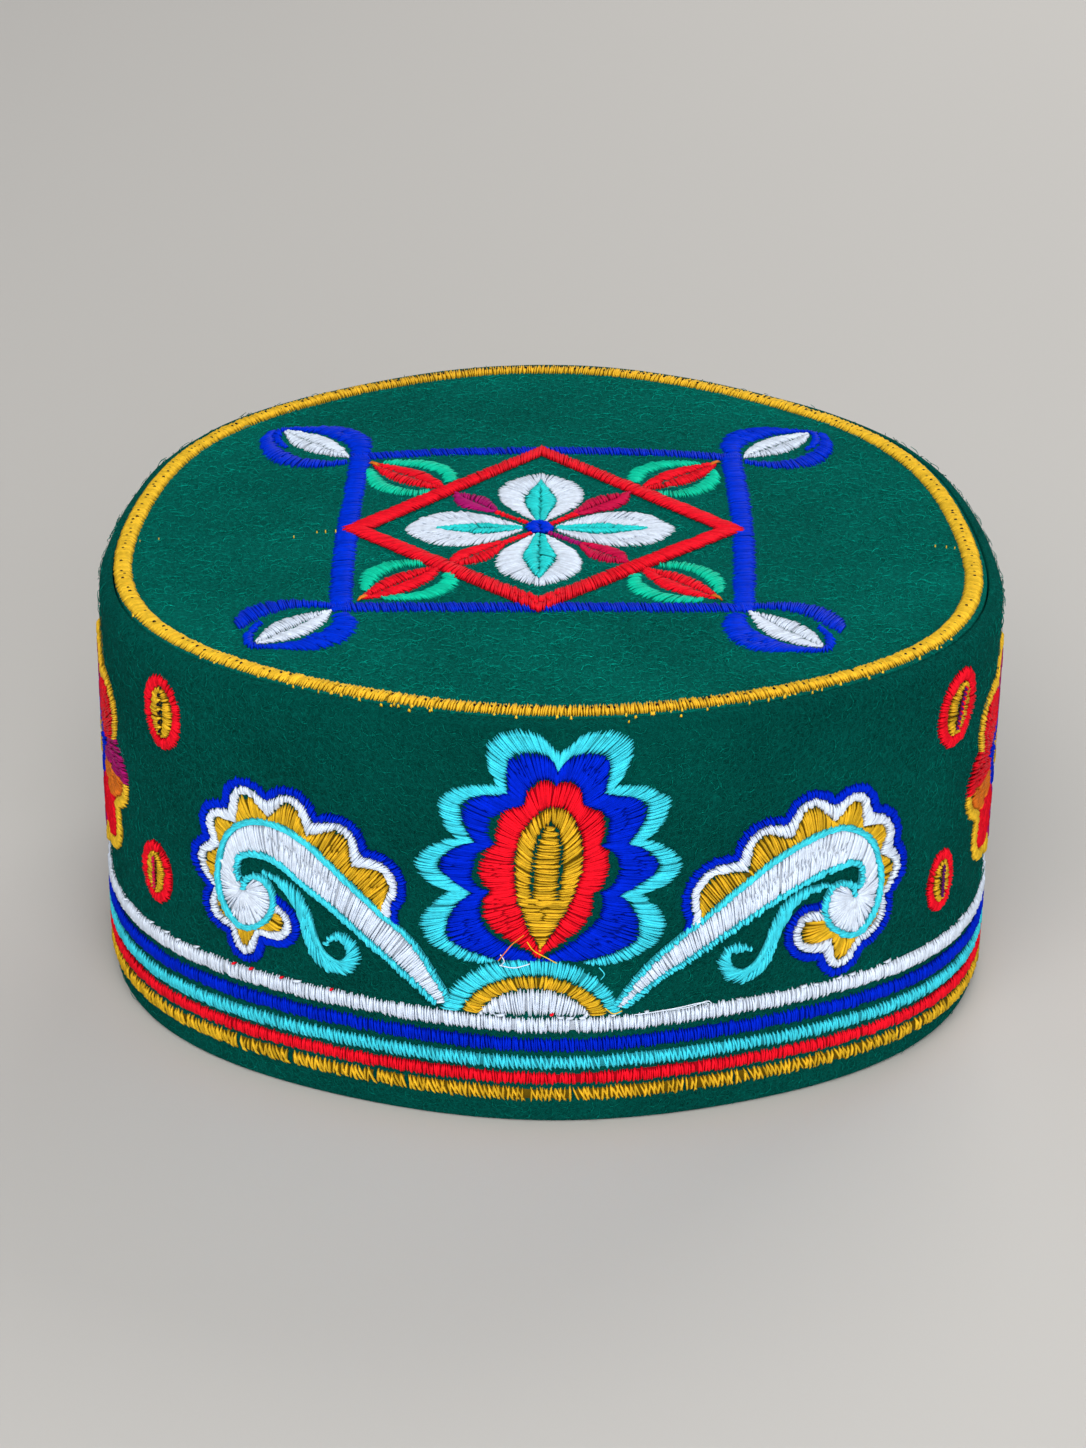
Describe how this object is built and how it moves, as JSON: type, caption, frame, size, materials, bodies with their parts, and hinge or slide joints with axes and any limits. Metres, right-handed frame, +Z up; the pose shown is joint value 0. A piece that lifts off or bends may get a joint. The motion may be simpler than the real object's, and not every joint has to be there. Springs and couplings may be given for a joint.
{
  "type": "tamang cap",
  "caption": "Round flat-topped felt cap, open below, with raised stitched flowers, scrolls and stripes round the wall and a framed pattern on top.",
  "frame": {"origin": "middle of the rim's plane, under the middle of the cap's box", "axes": "+Z up through the flat top, -Y out of the front flower, +X towards the wearer's left"},
  "size_m": [0.1866, 0.1896, 0.0888],
  "materials": {
    "felt_green": "matte wool felt",
    "thread_blue": "satin thread",
    "thread_gold": "satin thread",
    "thread_mint": "satin thread",
    "thread_red": "satin thread",
    "thread_turquoise": "satin thread",
    "thread_white": "satin thread"
  },
  "bodies": {
    "root": {"back_arch": "thread_turquoise", "back_flower": "thread_turquoise", "crown_top": "felt_green", "front_arch": "thread_turquoise", "front_flower": "thread_turquoise", "gold_ring": "thread_gold", "oval_back_lower_left": "thread_red", "oval_back_lower_right": "thread_red", "oval_back_upper_left": "thread_red", "oval_back_upper_right": "thread_red", "oval_front_lower_left": "thread_red", "oval_front_lower_right": "thread_red", "oval_front_upper_left": "thread_red", "oval_front_upper_right": "thread_red", "rosette_left": "thread_gold", "rosette_right": "thread_gold", "scroll_back_left": "thread_white", "scroll_back_right": "thread_white", "scroll_front_left": "thread_white", "scroll_front_right": "thread_white", "side_band": "felt_green", "stripe_blue": "thread_blue", "stripe_gold": "thread_gold", "stripe_red": "thread_red", "stripe_turquoise": "thread_turquoise", "stripe_white": "thread_white", "tendril_back_left": "thread_turquoise", "tendril_back_right": "thread_turquoise", "tendril_front_left": "thread_turquoise", "tendril_front_right": "thread_turquoise", "top_bud_back_left": "thread_mint", "top_bud_back_right": "thread_mint", "top_bud_front_left": "thread_mint", "top_bud_front_right": "thread_mint", "top_corner_back_left": "thread_blue", "top_corner_back_right": "thread_blue", "top_corner_front_left": "thread_blue", "top_corner_front_right": "thread_blue", "top_diamond": "thread_red", "top_frame": "thread_blue", "top_knot": "thread_blue", "top_leaf_back_left": "thread_red", "top_leaf_back_right": "thread_red", "top_leaf_front_left": "thread_red", "top_leaf_front_right": "thread_red", "top_petal_back": "thread_white", "top_petal_front": "thread_white", "top_petal_left": "thread_white", "top_petal_right": "thread_white"}
  },
  "joints": []
}
